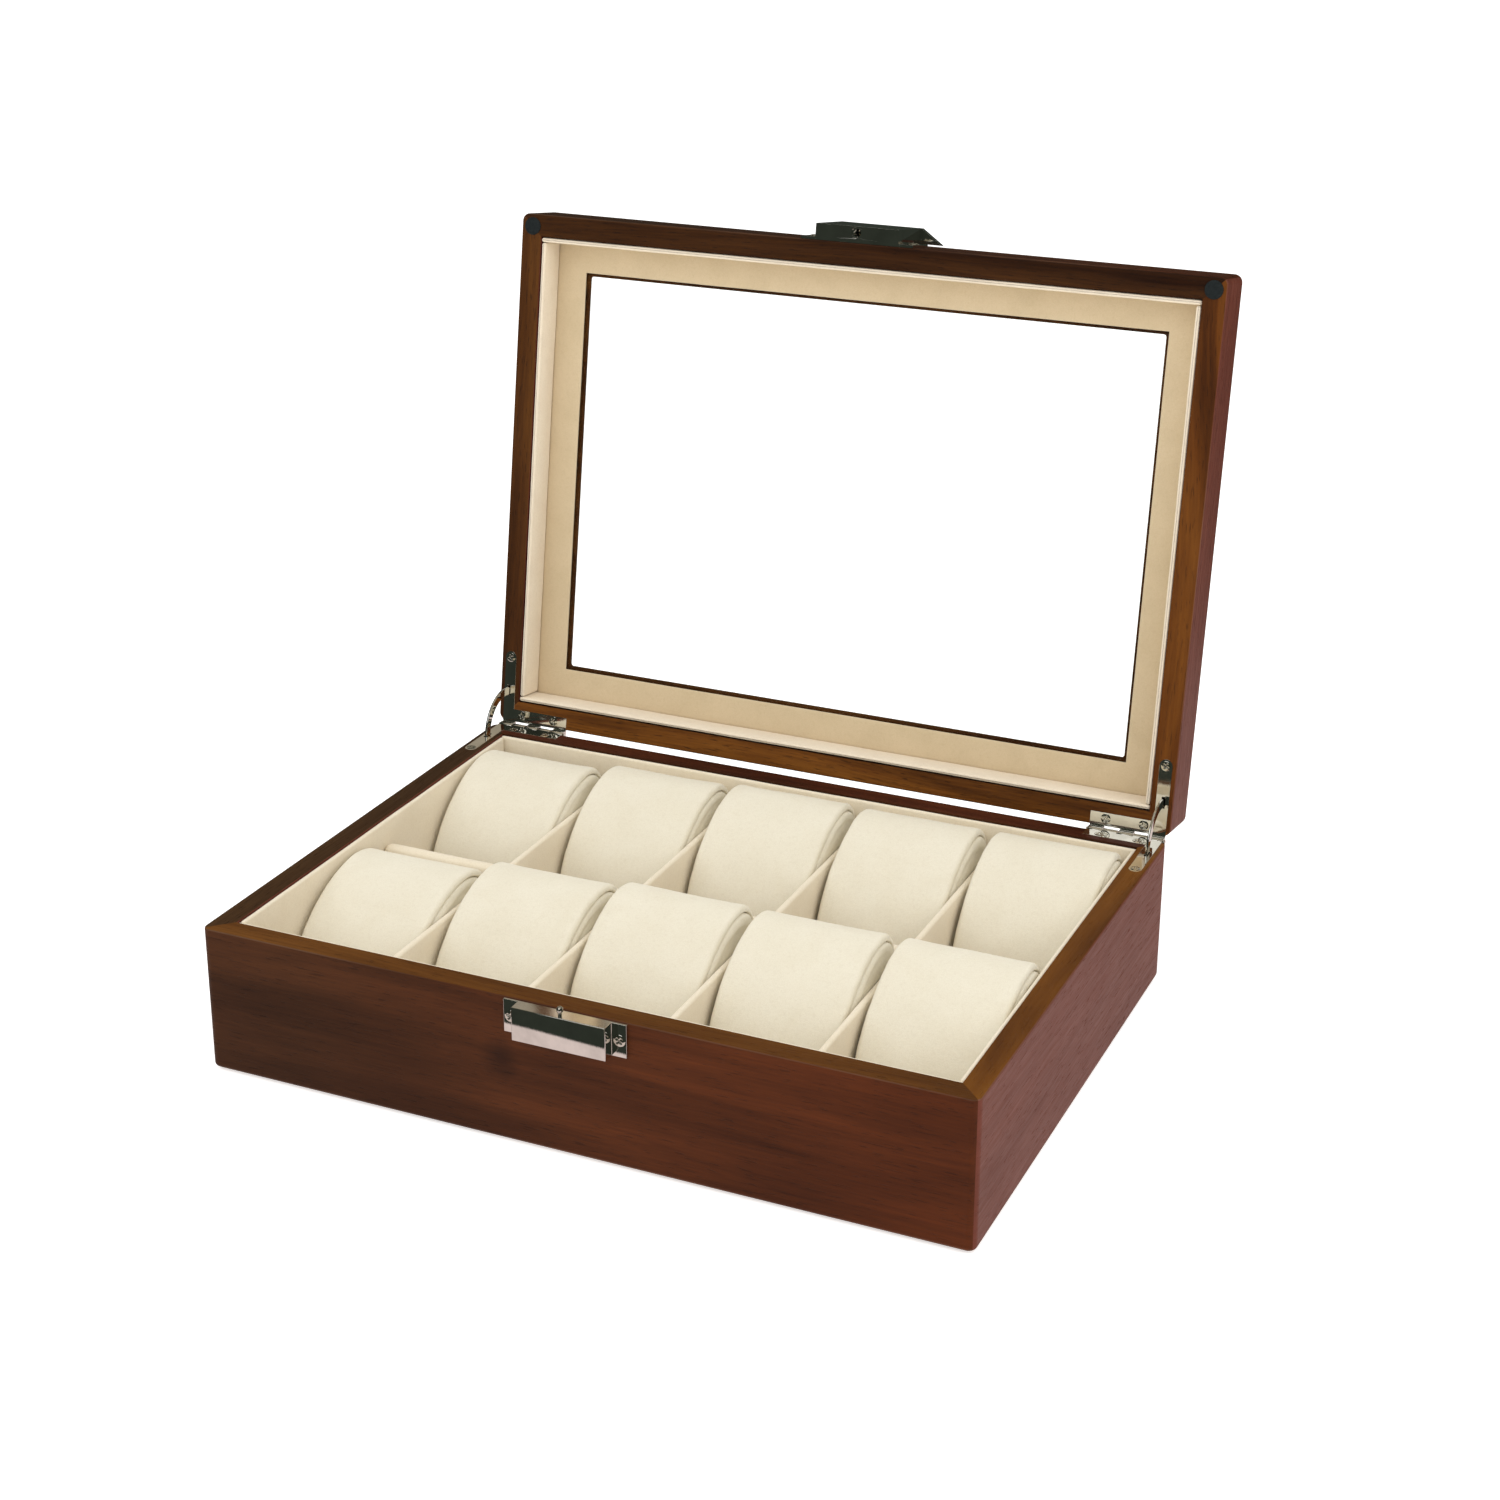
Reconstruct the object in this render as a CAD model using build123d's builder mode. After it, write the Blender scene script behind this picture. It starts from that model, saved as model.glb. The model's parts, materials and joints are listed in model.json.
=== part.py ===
from build123d import *
import os
from math import cos, radians, sin

# Watch box for ten watches: a wooden tray with a framed glass lid.
# Millimetres. X is the width, Y runs from the front to the back, Z is up.
# The origin is the middle of the underside. The lid is modelled shut, then
# swung open about the hinge axis, which is how the box is stored here.

# ---- box ----
WIDTH = 330.0
DEPTH = 240.0
RIM = 64.0                  # top of the tray's wooden walls
SEAM = 0.6                  # gap between the two rims with the lid shut
LID_TOP = 92.6
LID_RIM = RIM + SEAM
WALL = 10.0
CORNER_R = 3.5              # upright outer corners
EDGE_R = 0.8                # outer edges along both rims
BOTTOM_R = 2.0
LID_TOP_R = 3.2

FELT = 0.8
FELT_INSET = 4.0
BOTTOM_PANEL = 5.0
PANEL_TOP = FELT + BOTTOM_PANEL
FLOOR_LINING = 2.0
FLOOR = PANEL_TOP + FLOOR_LINING
TRAY_LINING = 2.3
TRAY_LINING_TOP = RIM - 0.5

# ---- lid ----
LID_RECESS = 15.0           # from the lid's rim to the face of the mat
MAT_FACE = LID_RIM + LID_RECESS
MAT = 0.8
GLASS = 1.5
GLASS_MARGIN = 5.0          # from the glass edge to the wooden walls
PANEL_LOW = MAT_FACE + MAT + GLASS
LID_PANEL = LID_TOP - PANEL_LOW
LID_LINING = 2.6
WINDOW = (277.0, 188.5)     # opening in the mat
WINDOW_LIP = 1.6            # the wooden opening is this much smaller all round
WINDOW_R = 1.2
WINDOW_EDGE = 0.8           # straight part of the opening, before its bevel
BUMPER_R = 4.0
BUMPER_SET = 0.8            # depth of its seat in the lid rim
BUMPER_PROUD = 0.5
BUMPER_IN = 5.6             # from the outer faces of the lid to its centre

# ---- compartments and pillows ----
COLUMNS = 5
ROW_DIVIDER = 7.0
CROSS_DIVIDER = 3.0
DIVIDER_TOP = 53.5
INNER_WIDTH = WIDTH - 2 * (WALL + TRAY_LINING)
INNER_DEPTH = DEPTH - 2 * (WALL + TRAY_LINING)
BAY = (INNER_WIDTH - (COLUMNS - 1) * CROSS_DIVIDER) / COLUMNS
PITCH = BAY + CROSS_DIVIDER
PILLOW_WIDTH = 55.0
PILLOW_A = 39.0             # half of the oval's long axis
PILLOW_B = 22.8             # half of its short axis
WRAP = 3.0
WRAP_SLIT = 8.0
CORE_INSET = 2.0            # from the ends of the wrap to the ends of the core
PILLOW_LIFT = 0.3           # air between a pillow and the floor lining
# each pillow's lean, its rear end up, and its centre's y, from left to right
FRONT_PILLOWS = ((27.0, -45.0), (32.0, -39.1), (36.5, -38.1), (36.0, -38.2), (36.5, -38.1))
REAR_PILLOWS = ((34.0, 66.0), (34.5, 72.6), (37.0, 73.2), (36.0, 73.0), (36.5, 73.1))

# ---- hinges ----
HINGE_Y = DEPTH / 2 + 2.2
HINGE_Z = 62.6
HINGE_AXIS = Axis((0, HINGE_Y, HINGE_Z), (-1, 0, 0))
LID_OPEN = 99.0
LEAF = 1.0
LEAF_WIDTH = 6.0
SIDE_LEG_WIDTH = 5.8
LEG_LENGTH = 34.0
LEAF_OUT = WIDTH / 2 - 2.0  # outer edge of the side leg
KNUCKLES = 5
KNUCKLE_R = 1.8
KNUCKLE_GAP = 0.3
PIN_R = 0.8
LID_BORE_R = PIN_R + 0.06
PIN_HEAD = 0.6
ARM_X = 160.5
ARM_R = 17.0
ARM_HALF = 1.9              # half of the arm's width along the radius
ARM_THICK = 1.0
STOP_HALF = 3.0             # half of the width of the stops at its ends
SLOT_HALF = 2.5
SLOT_WIDTH = 1.6
POCKET_HALF = 3.4
POCKET_WIDTH = 2.0
# arm angles, in degrees up from the tray's rim line, with the lid open
ARM_LOW, LOW_STOP_END = -6.0, -2.4
ARM_HIGH, HIGH_STOP_START = 118.5, 114.6
ARM_SPARE = 2.5             # the pockets run on past the arm's ends

# ---- screws ----
LEAF_SCREW_HEAD_R = 2.1
LATCH_SCREW_HEAD_R = 2.4
SHANK_R = 1.1
SHANK = 7.0
RECESS_DEPTH = 0.7
SIDE_SCREW_IN = 31.0        # from the back face
BACK_SCREWS_X = (136.0, 153.0)
BACK_SCREW_IN = 3.4

# ---- latch ----
LATCH_WIDTH = 40.0
FLANGE_WIDTH = 52.4
FLANGE = 1.2
LATCH_PROUD = 6.6
LATCH_HEIGHT = 14.0
LATCH_TOP = RIM - 0.6
LATCH_SCREW_X = 23.2
BALL_Y = -DEPTH / 2 - 4.4
BALL_R = 1.4
BALL_Z = 65.9
STEM_R = 0.8
CATCH_WIDTH = 39.0
CATCH_PROUD = 7.2
CATCH_LOW = LID_RIM + 0.1
CATCH_FLANGE_HEIGHT = 19.0
CATCH_HEIGHT = 28.0
LIP = 2.6                   # thickness of the finger lip at the catch's top
LIP_WIDTH = 59.0
SOCKET_R = 2.5
SOCKET_DEPTH = 5.0
SPRING_R = 1.7
SPRING_SET = 0.5
SPRING = 0.9

FRONT, BACK, LEFT, RIGHT = "front", "back", "left", "right"
SIDES = (FRONT, BACK, LEFT, RIGHT)
HANDS = {LEFT: -1, RIGHT: 1}


def write(piece, name):
    """Label a finished piece and write it as a STEP file."""
    piece.part.label = name
    export_step(piece.part, f"parts/{name}.step")


def opened(shut):
    """A lid piece swung from its shut place to its open one."""
    with BuildPart() as piece:
        add(shut.part.rotate(HINGE_AXIS, LID_OPEN))
    return piece


def frame_outline(inset=0.0, corner=CORNER_R):
    """Sketch the outline of the box, drawn in by inset."""
    RectangleRounded(WIDTH - 2 * inset, DEPTH - 2 * inset, corner)


def mitre_outline(side):
    """Sketch the part of the plan that one mitred board of a frame takes."""
    x, y = WIDTH / 2 + 5, DEPTH / 2 + 5
    reach = 50
    if side == FRONT:
        corners = [(-x, -y), (x, -y), (x - reach, reach - y), (reach - x, reach - y)]
    elif side == BACK:
        corners = [(x, y), (-x, y), (reach - x, y - reach), (x - reach, y - reach)]
    elif side == LEFT:
        corners = [(-x, y), (-x, -y), (reach - x, reach - y), (reach - x, y - reach)]
    else:
        corners = [(x, -y), (x, y), (x - reach, y - reach), (x - reach, reach - y)]
    Polygon(*corners, align=None)


def frame_board(side, low, high, low_r, high_r):
    """One mitred wall board of a frame, with its outer edges rounded."""
    with BuildPart() as board:
        with BuildSketch(Plane.XY.offset(low)):
            frame_outline()
            Rectangle(WIDTH - 2 * WALL, DEPTH - 2 * WALL, mode=Mode.SUBTRACT)
        extrude(amount=high - low)
        fillet(board.faces().sort_by(Axis.Z)[0].outer_wire().edges(), low_r)
        fillet(board.faces().sort_by(Axis.Z)[-1].outer_wire().edges(), high_r)
        with BuildSketch(Plane.XY.offset(low)):
            mitre_outline(side)
        extrude(amount=high - low, mode=Mode.INTERSECT)
    return board


def arc_band(x, width, inner, outer, low, high):
    """Sketch of a flat ring sector about the hinge axis, its angles up from the rim line."""
    with BuildSketch(Plane.YZ.offset(x - width / 2)) as band:
        with BuildLine():
            centre = (HINGE_Y, HINGE_Z)
            far = CenterArc(centre, outer, 180 - high, high - low)
            near = CenterArc(centre, inner, 180 - high, high - low)
            Line(far @ 0, near @ 0)
            Line(far @ 1, near @ 1)
        make_face()
    return band.sketch


def arm_pocket(hand, low, high):
    """The slot that one stay arm slides into, as a separate solid."""
    with BuildPart() as pocket:
        inner, outer = ARM_R - POCKET_HALF, ARM_R + POCKET_HALF
        extrude(arc_band(hand * ARM_X, POCKET_WIDTH, inner, outer, low, high), POCKET_WIDTH)
    return pocket.part


def leaf_outline(hand):
    """Sketch one L-shaped hinge leaf: a leg along the back, and a round-ended one forward."""
    back = DEPTH / 2
    end_r = SIDE_LEG_WIDTH / 2
    straight = LEG_LENGTH - end_r
    with Locations((hand * (LEAF_OUT - LEG_LENGTH / 2), back - LEAF_WIDTH / 2)):
        Rectangle(LEG_LENGTH, LEAF_WIDTH)
    with Locations((hand * (LEAF_OUT - end_r), back - straight / 2)):
        Rectangle(SIDE_LEG_WIDTH, straight)
    with Locations((hand * (LEAF_OUT - end_r), back - straight)):
        Circle(end_r)


def leaf_screw_spots(hand):
    """Plan positions of the three screws in one leaf."""
    spots = [(hand * x, DEPTH / 2 - BACK_SCREW_IN) for x in BACK_SCREWS_X]
    spots.append((hand * (LEAF_OUT - SIDE_LEG_WIDTH / 2), DEPTH / 2 - SIDE_SCREW_IN))
    return spots


def screw(plane, head_r, recessed=True):
    """A countersunk cross-head screw, its head flush with the plane, going down from it."""
    with BuildPart() as body:
        with BuildSketch(plane.offset(-LEAF)):
            Circle(SHANK_R)
        with BuildSketch(plane):
            Circle(head_r)
        loft()
        with BuildSketch(plane.offset(-LEAF)):
            Circle(SHANK_R)
        extrude(amount=-SHANK)
        if recessed:
            with BuildSketch(plane):
                Rectangle(head_r * 1.1, 0.4)
                Rectangle(0.4, head_r * 1.1)
            extrude(amount=-RECESS_DEPTH, mode=Mode.SUBTRACT)
    return body.part


def hinge_screws(height, facing, recessed):
    """The six leaf screws of the two hinges that go into one rim."""
    screws = []
    for hand in HANDS.values():
        for x, y in leaf_screw_spots(hand):
            plane = Plane((x, y, height), x_dir=(1, 1, 0), z_dir=(0, 0, facing))
            screws.append(screw(plane, LEAF_SCREW_HEAD_R, recessed))
    return screws


def latch_screws(height, recessed):
    """The two screws through the flanges of one half of the latch."""
    screws = []
    for hand in HANDS.values():
        front = (hand * LATCH_SCREW_X, -DEPTH / 2 - FLANGE, height)
        plane = Plane(front, x_dir=(1, 0, 1), z_dir=(0, -1, 0))
        screws.append(screw(plane, LATCH_SCREW_HEAD_R, recessed))
    return screws


LOWER_LATCH_SCREW_Z = LATCH_TOP - LATCH_HEIGHT / 2
UPPER_LATCH_SCREW_Z = CATCH_LOW + CATCH_FLANGE_HEIGHT / 2
SHUT_SWING = LID_OPEN / 2   # the arms turn half as far as the lid


def tray_cutters():
    """What is cut out of the tray's wood: arm slots, leaf seats and screw holes."""
    cutters = hinge_screws(RIM, 1, False) + latch_screws(LOWER_LATCH_SCREW_Z, False)
    for hand in HANDS.values():
        cutters.append(arm_pocket(hand, ARM_LOW - SHUT_SWING - ARM_SPARE, 10))
        with BuildPart() as seat:
            with BuildSketch(Plane.XY.offset(RIM - LEAF)):
                leaf_outline(hand)
            extrude(amount=LEAF)
        cutters.append(seat.part)
    return cutters


def lid_cutters():
    """What is cut out of the lid's wood, with the lid shut."""
    cutters = hinge_screws(LID_RIM, -1, False) + latch_screws(UPPER_LATCH_SCREW_Z, False)
    for hand in HANDS.values():
        cutters.append(arm_pocket(hand, -4, ARM_HIGH - SHUT_SWING + ARM_SPARE))
        with BuildPart() as seat:
            with BuildSketch(Plane.XY.offset(LID_RIM)):
                leaf_outline(hand)
            extrude(amount=LEAF)
            with BuildSketch(Plane.XY.offset(LID_RIM)):
                with Locations((hand * (WIDTH / 2 - BUMPER_IN), BUMPER_IN - DEPTH / 2)):
                    Circle(BUMPER_R)
            extrude(amount=BUMPER_SET)
        cutters.append(seat.part)
    return cutters


def cut_board(board, cutters):
    """The board with its seats, slots and screw holes cut."""
    with BuildPart() as cut:
        add(board.part)
        for cutter in cutters:
            add(cutter, mode=Mode.SUBTRACT)
    return cut


def make_tray():
    """The tray's wooden walls, bottom panel and the felt under it."""
    cutters = tray_cutters()
    for side in SIDES:
        board = frame_board(side, FELT, RIM, BOTTOM_R, EDGE_R)
        write(cut_board(board, cutters), f"base_{side}_wall")

    with BuildPart() as panel:
        with BuildSketch(Plane.XY.offset(FELT)):
            Rectangle(WIDTH - 2 * WALL, DEPTH - 2 * WALL)
        extrude(amount=BOTTOM_PANEL)
    write(panel, "base_bottom_panel")

    with BuildPart() as felt:
        with BuildSketch():
            frame_outline(FELT_INSET, CORNER_R)
        extrude(amount=FELT)
    write(felt, "base_felt")


def lining_board(side, low, high, thick, round_z):
    """One velvet-covered lining board along the inside of a wall, its free edge rounded."""
    x, y = WIDTH / 2 - WALL, DEPTH / 2 - WALL
    with BuildPart() as board:
        with BuildSketch(Plane.XY.offset(low)):
            if side in (FRONT, BACK):
                sign = -1 if side == FRONT else 1
                with Locations((0, sign * (y - thick / 2))):
                    Rectangle(2 * x, thick)
            else:
                with Locations((HANDS[side] * (x - thick / 2), 0)):
                    Rectangle(thick, 2 * y - 2 * thick)
        extrude(amount=high - low)
        free = board.faces().filter_by(Axis.Z).sort_by(Axis.Z)[-1 if round_z > 0 else 0]
        along = Axis.X if side in (FRONT, BACK) else Axis.Y
        fillet(free.edges().filter_by(along), thick * 0.4)
    return board


def make_tray_lining():
    """Floor and wall linings of the tray and the dividers between its ten bays."""
    with BuildPart() as floor:
        with BuildSketch(Plane.XY.offset(PANEL_TOP)):
            Rectangle(WIDTH - 2 * WALL, DEPTH - 2 * WALL)
        extrude(amount=FLOOR_LINING)
    write(floor, "base_lining_floor")

    for side in SIDES:
        board = lining_board(side, FLOOR, TRAY_LINING_TOP, TRAY_LINING, 1)
        write(board, f"base_lining_{side}")

    height = DIVIDER_TOP - FLOOR
    with BuildPart() as divider:
        with BuildSketch(Plane.XY.offset(FLOOR)):
            Rectangle(INNER_WIDTH, ROW_DIVIDER)
        extrude(amount=height)
        top = divider.faces().sort_by(Axis.Z)[-1]
        fillet(top.edges().filter_by(Axis.X), ROW_DIVIDER * 0.45)
    write(divider, "row_divider")

    row_depth = (INNER_DEPTH - ROW_DIVIDER) / 2
    for sign, name in ((-1, "cross_dividers_front"), (1, "cross_dividers_rear")):
        with BuildPart() as dividers:
            with BuildSketch(Plane.XY.offset(FLOOR)):
                with Locations((0, sign * (ROW_DIVIDER + row_depth) / 2)):
                    with GridLocations(PITCH, 1, COLUMNS - 1, 1):
                        Rectangle(CROSS_DIVIDER, row_depth)
            extrude(amount=height)
            tops = dividers.faces().filter_by(Axis.Z).group_by(Axis.Z)[-1]
            fillet(tops.edges().filter_by(Axis.Y), CROSS_DIVIDER * 0.4)
        write(dividers, name)


def make_pillow(column, tilt, y, name):
    """One watch pillow: an oval foam core in a stiff wrap that is slit underneath."""
    half_height = (PILLOW_A**2 * sin(radians(tilt))**2
                   + PILLOW_B**2 * cos(radians(tilt))**2)**0.5
    z = FLOOR + PILLOW_LIFT + half_height
    x = (column - (COLUMNS - 1) / 2) * PITCH
    with BuildPart() as wrap:
        with BuildSketch(Plane.YZ.offset(x - PILLOW_WIDTH / 2)):
            with Locations((y, z)):
                Ellipse(PILLOW_A, PILLOW_B, rotation=tilt)
                Ellipse(PILLOW_A - WRAP, PILLOW_B - WRAP, rotation=tilt, mode=Mode.SUBTRACT)
            with Locations((y, z - PILLOW_B)):
                Rectangle(WRAP_SLIT, PILLOW_B, mode=Mode.SUBTRACT)
        extrude(amount=PILLOW_WIDTH)
    write(wrap, f"{name}_wrap")

    with BuildPart() as core:
        with BuildSketch(Plane.YZ.offset(x - PILLOW_WIDTH / 2 + CORE_INSET)):
            with Locations((y, z)):
                Ellipse(PILLOW_A - WRAP, PILLOW_B - WRAP, rotation=tilt)
        extrude(amount=PILLOW_WIDTH - 2 * CORE_INSET)
    write(core, f"{name}_core")


def make_pillows():
    """Ten pillows in two rows, each leaning back a little differently in its bay."""
    for row, poses in (("front", FRONT_PILLOWS), ("rear", REAR_PILLOWS)):
        for column, (tilt, y) in enumerate(poses):
            make_pillow(column, tilt, y, f"pillow_{row}_{column + 1}")


def make_lid():
    """The lid's mitred walls, its top panel with the window, and the glass."""
    cutters = lid_cutters()
    for side in SIDES:
        board = frame_board(side, LID_RIM, LID_TOP, EDGE_R, LID_TOP_R)
        write(opened(cut_board(board, cutters)), f"lid_{side}_wall")

    with BuildPart() as panel:
        with BuildSketch(Plane.XY.offset(PANEL_LOW)):
            Rectangle(WIDTH - 2 * WALL, DEPTH - 2 * WALL)
            lip = 2 * WINDOW_LIP
            RectangleRounded(WINDOW[0] - lip, WINDOW[1] - lip, WINDOW_R, mode=Mode.SUBTRACT)
        extrude(amount=LID_PANEL)
        rim_edges = panel.faces().sort_by(Axis.Z)[-1].inner_wires()[0].edges()
        chamfer(rim_edges, LID_PANEL - WINDOW_EDGE)
    write(opened(panel), "lid_top_panel")

    with BuildPart() as glass:
        with BuildSketch(Plane.XY.offset(PANEL_LOW - GLASS)):
            edge = 2 * (WALL + GLASS_MARGIN)
            Rectangle(WIDTH - edge, DEPTH - edge)
        extrude(amount=GLASS)
    write(opened(glass), "lid_glass")


def make_lid_lining():
    """The lid's velvet side linings, the mat round the window and the rim bumpers."""
    for side in SIDES:
        board = lining_board(side, LID_RIM + 0.1, MAT_FACE, LID_LINING, -1)
        write(opened(board), f"lid_lining_{side}")

    with BuildPart() as mat:
        with BuildSketch(Plane.XY.offset(MAT_FACE)):
            Rectangle(WIDTH - 2 * WALL, DEPTH - 2 * WALL)
            Rectangle(*WINDOW, mode=Mode.SUBTRACT)
        extrude(amount=MAT)
    write(opened(mat), "lid_lining_mat")

    with BuildPart() as bumpers:
        with BuildSketch(Plane.XY.offset(LID_RIM + BUMPER_SET)):
            with Locations((0, BUMPER_IN - DEPTH / 2)):
                with GridLocations(WIDTH - 2 * BUMPER_IN, 1, 2, 1):
                    Circle(BUMPER_R)
        extrude(amount=-BUMPER_SET - BUMPER_PROUD)
        low = bumpers.faces().filter_by(Axis.Z).group_by(Axis.Z)[0]
        fillet(low.edges(), BUMPER_PROUD * 0.8)
    write(opened(bumpers), "lid_bumpers")


def knuckle_spans(kinds):
    """Start and length, from the outer end inwards, of the knuckles of one leaf."""
    pitch = LEG_LENGTH / KNUCKLES
    return [(k * pitch + KNUCKLE_GAP / 2, pitch - KNUCKLE_GAP) for k in kinds]


def hinge_leaf(hand, low, kinds, bore_r, reach_z, screws):
    """One leaf: an L-shaped plate with rolled knuckles along the back and an arm slot."""
    with BuildPart() as leaf:
        with BuildSketch(Plane.XY.offset(low)):
            leaf_outline(hand)
        extrude(amount=LEAF)
        with BuildSketch(Plane.XY.offset(low)):
            with Locations((hand * ARM_X, HINGE_Y - ARM_R)):
                Rectangle(SLOT_WIDTH, 2 * SLOT_HALF)
        extrude(amount=LEAF, mode=Mode.SUBTRACT)
        for start, length in knuckle_spans(kinds):
            outer = hand * (LEAF_OUT - start)
            inner = hand * (LEAF_OUT - start - length)
            left = min(outer, inner)
            strap_front = DEPTH / 2 - 0.5
            with BuildSketch(Plane.YZ.offset(left)):
                with Locations((HINGE_Y, HINGE_Z)):
                    Circle(KNUCKLE_R)
                with BuildLine():
                    Polyline((strap_front, low), (strap_front, low + LEAF),
                             (HINGE_Y, low + LEAF), (HINGE_Y, HINGE_Z),
                             (HINGE_Y - KNUCKLE_R, HINGE_Z), (HINGE_Y - KNUCKLE_R, reach_z),
                             close=True)
                make_face()
            extrude(amount=length)
        with BuildSketch(Plane.YZ.offset(-WIDTH)):
            with Locations((HINGE_Y, HINGE_Z)):
                Circle(bore_r)
        extrude(amount=2 * WIDTH, mode=Mode.SUBTRACT)
        for one in screws:
            add(one, mode=Mode.SUBTRACT)
    return leaf


def make_hinges():
    """Two corner hinges: leaves let into the rims, a pin, and a curved stay arm."""
    tray_screws = hinge_screws(RIM, 1, False)
    lid_screws = hinge_screws(LID_RIM, -1, False)
    for name, hand in HANDS.items():
        leaf = hinge_leaf(hand, RIM - LEAF, (1, 3), PIN_R, RIM - LEAF, tray_screws)
        write(leaf, f"hinge_{name}_base_leaf")
        leaf = hinge_leaf(hand, LID_RIM, (0, 2, 4), LID_BORE_R, LID_RIM, lid_screws)
        write(opened(leaf), f"hinge_{name}_lid_leaf")

        with BuildPart() as pin:
            left = min(hand * LEAF_OUT, hand * (LEAF_OUT - LEG_LENGTH))
            with BuildSketch(Plane.YZ.offset(left)):
                with Locations((HINGE_Y, HINGE_Z)):
                    Circle(PIN_R)
            extrude(amount=LEG_LENGTH)
            with BuildSketch(Plane.YZ.offset(left - PIN_HEAD), Plane.YZ.offset(left + LEG_LENGTH)):
                with Locations((HINGE_Y, HINGE_Z)):
                    Circle(PIN_R * 1.5)
            extrude(amount=PIN_HEAD)
        write(pin, f"hinge_{name}_pin")

        with BuildPart() as arm:
            for half, low, high in ((ARM_HALF, ARM_LOW, ARM_HIGH),
                                    (STOP_HALF, ARM_LOW, LOW_STOP_END),
                                    (STOP_HALF, HIGH_STOP_START, ARM_HIGH)):
                band = arc_band(hand * ARM_X, ARM_THICK, ARM_R - half, ARM_R + half, low, high)
                extrude(band, ARM_THICK)
        write(arm, f"hinge_{name}_arm")


def make_screws():
    """The screws in the tray and the screws in the lid, each set in one node."""
    with BuildPart() as tray_set:
        add(hinge_screws(RIM, 1, True) + latch_screws(LOWER_LATCH_SCREW_Z, True))
    write(tray_set, "base_screws")

    with BuildPart() as lid_set:
        add(hinge_screws(LID_RIM, -1, True) + latch_screws(UPPER_LATCH_SCREW_Z, True))
    write(opened(lid_set), "lid_screws")


def make_latch():
    """A snap latch: a ball stud on the tray and a sprung socket in the catch on the lid."""
    face = Plane.XZ.offset(DEPTH / 2)
    with BuildPart() as body:
        with BuildSketch(face):
            with Locations((0, LATCH_TOP - LATCH_HEIGHT / 2)):
                Rectangle(FLANGE_WIDTH, LATCH_HEIGHT)
        extrude(amount=FLANGE)
        with BuildSketch(face):
            with Locations((0, LATCH_TOP - LATCH_HEIGHT / 2)):
                Rectangle(LATCH_WIDTH, LATCH_HEIGHT)
        extrude(amount=LATCH_PROUD)
        front = body.faces().sort_by(Axis.Y)[0]
        fillet(front.edges(), 0.4)
        for one in latch_screws(LOWER_LATCH_SCREW_Z, False):
            add(one, mode=Mode.SUBTRACT)
    write(body, "latch_lower_body")

    with BuildPart() as stud:
        with BuildSketch(Plane.XY.offset(LATCH_TOP)):
            with Locations((0, BALL_Y)):
                Circle(STEM_R)
        extrude(amount=BALL_Z - LATCH_TOP)
        with Locations((0, BALL_Y, BALL_Z)):
            Sphere(BALL_R)
    write(stud, "latch_ball_stud")

    with BuildPart() as catch:
        with BuildSketch(face):
            with Locations((0, CATCH_LOW + CATCH_FLANGE_HEIGHT / 2)):
                Rectangle(FLANGE_WIDTH, CATCH_FLANGE_HEIGHT)
        extrude(amount=FLANGE)
        with BuildSketch(face):
            with Locations((0, CATCH_LOW + CATCH_HEIGHT / 2)):
                Rectangle(CATCH_WIDTH, CATCH_HEIGHT)
        extrude(amount=CATCH_PROUD)
        with BuildSketch(Plane.XY.offset(CATCH_LOW + CATCH_HEIGHT)):
            back = -DEPTH / 2 - 0.4
            front_y = -DEPTH / 2 - CATCH_PROUD
            half, wide = CATCH_WIDTH / 2, LIP_WIDTH / 2
            Polygon((-wide, back), (wide, back), (half, front_y), (-half, front_y), align=None)
        extrude(amount=LIP)
        with BuildSketch(Plane.XY.offset(CATCH_LOW)):
            with Locations((0, BALL_Y)):
                Circle(SOCKET_R)
        extrude(amount=SOCKET_DEPTH, mode=Mode.SUBTRACT)
        for one in latch_screws(UPPER_LATCH_SCREW_Z, False):
            add(one, mode=Mode.SUBTRACT)
    write(opened(catch), "latch_upper_catch")

    with BuildPart() as spring:
        with BuildSketch(Plane.XY.offset(CATCH_LOW + SPRING_SET)):
            with Locations((0, BALL_Y)):
                Circle(SOCKET_R)
                Circle(SPRING_R, mode=Mode.SUBTRACT)
            with Locations((0, BALL_Y + SOCKET_R / 2)):
                Rectangle(0.5, SOCKET_R, mode=Mode.SUBTRACT)
        extrude(amount=SPRING)
    write(opened(spring), "latch_socket_spring")


os.makedirs("parts", exist_ok=True)
make_tray()
make_tray_lining()
make_pillows()
make_lid()
make_lid_lining()
make_hinges()
make_screws()
make_latch()
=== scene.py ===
import json
from math import asin, atan2, cos, pi, radians, sin

import bpy
import numpy as np
from mathutils import Matrix, Vector, noise


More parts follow.
